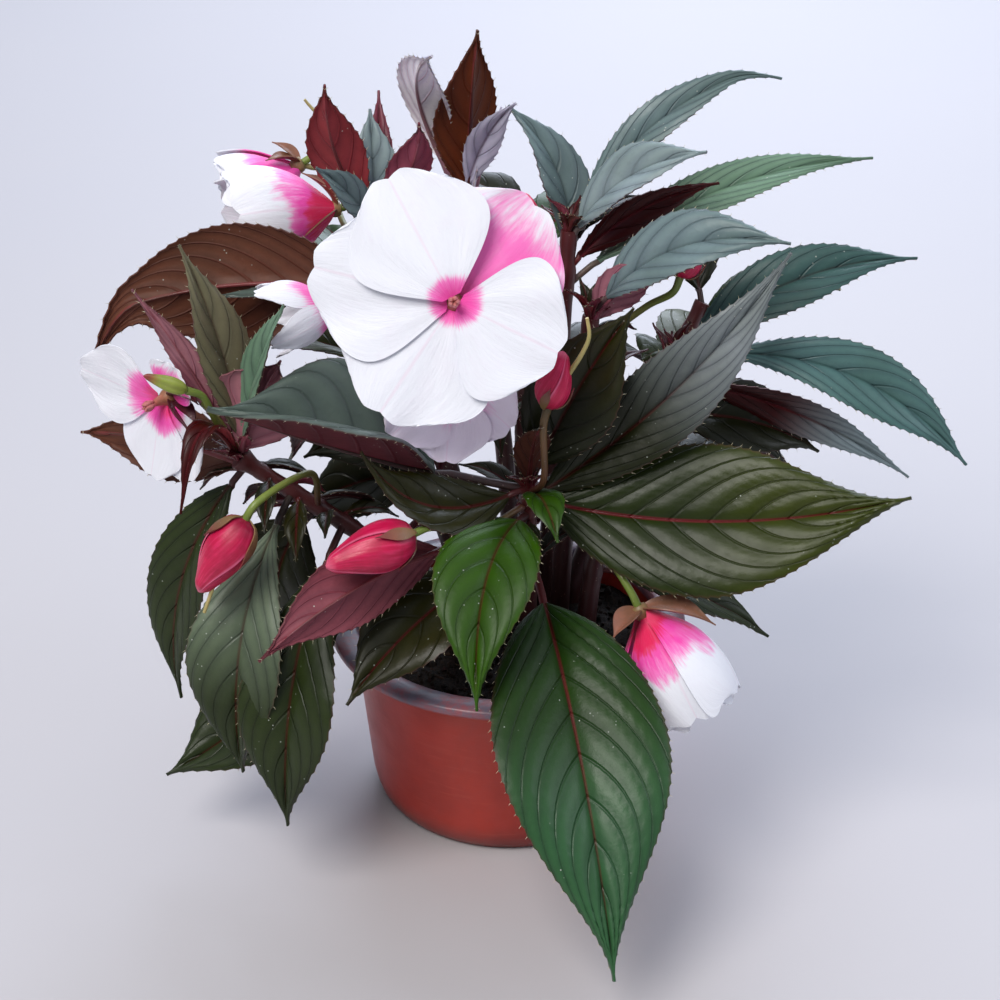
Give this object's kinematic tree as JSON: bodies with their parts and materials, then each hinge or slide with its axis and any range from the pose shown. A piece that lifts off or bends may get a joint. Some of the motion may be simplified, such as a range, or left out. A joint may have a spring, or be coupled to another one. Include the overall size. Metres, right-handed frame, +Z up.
{
  "type": "potted new guinea impatiens",
  "caption": "Flowering houseplant in a low plastic nursery pot filled with peat: leafy shoots, open and half open blooms, pointed buds and a seed pod. Stands on its flat pot base.",
  "frame": {"origin": "centre of the pot's base, on the surface it stands on", "axes": "+Z up, +X to the right as seen from the front of the plant, +Y away from the viewer"},
  "size_m": [0.2687, 0.2476, 0.2451],
  "materials": {
    "pot": "terracotta red moulded nursery plastic, softly glossy and a little dusty",
    "soil": "near black peat with fibres and small bark crumbs",
    "foliage": "dark green quilted leaves with red midribs, brown-purple undersides and red-brown stems",
    "petal": "soft white petals flushed pink and magenta towards the throat",
    "bud": "crimson bud with paler folded petal edges",
    "pod": "yellow-green seed pod with a red-brown tip"
  },
  "bodies": {
    "root": {"bloom_backLeft": "petal", "bloom_backLeftUpper": "petal", "bloom_behind": "petal", "bloom_left": "petal", "bloom_main": "petal", "bloom_right": "petal", "bloom_under": "petal", "bud_centre": "bud", "bud_left": "bud", "bud_middle": "bud", "bud_rightUpper": "bud", "bud_top": "bud", "pod": "pod", "pot": "pot", "shoot_back": "foliage", "shoot_backLeft": "foliage", "shoot_backRight": "foliage", "shoot_front": "foliage", "shoot_left": "foliage", "shoot_right": "foliage", "shoot_rightLow": "foliage", "shoot_top": "foliage", "shoot_topLeft": "foliage", "shoot_topRight": "foliage", "soil": "soil"}
  },
  "joints": []
}
